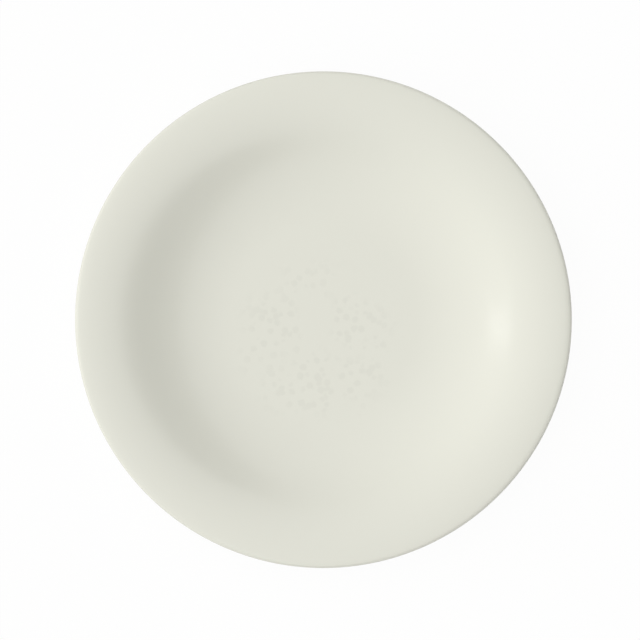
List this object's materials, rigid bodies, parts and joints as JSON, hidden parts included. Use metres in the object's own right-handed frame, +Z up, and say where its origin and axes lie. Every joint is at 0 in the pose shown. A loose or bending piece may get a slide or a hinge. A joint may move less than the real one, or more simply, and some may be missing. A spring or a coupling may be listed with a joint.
{
  "type": "flat plate",
  "caption": "Round flat dinner plate of glazed ceramic: a flat well, a long soft cove, a level rim with a rounded edge, and a bare foot ring it stands on.",
  "frame": {"origin": "centre of the foot ring's contact face, on the surface that the plate stands on", "axes": "+Z up along the plate's axis; the plate is round, so +X and +Y are any two square directions"},
  "size_m": [0.27, 0.27, 0.0251],
  "materials": {
    "fired_clay": "matte",
    "ivory_glaze": "satin"
  },
  "bodies": {
    "root": {"clay_body": "fired_clay", "glaze_coat": "ivory_glaze", "foot_well_glaze": "ivory_glaze"}
  },
  "joints": []
}
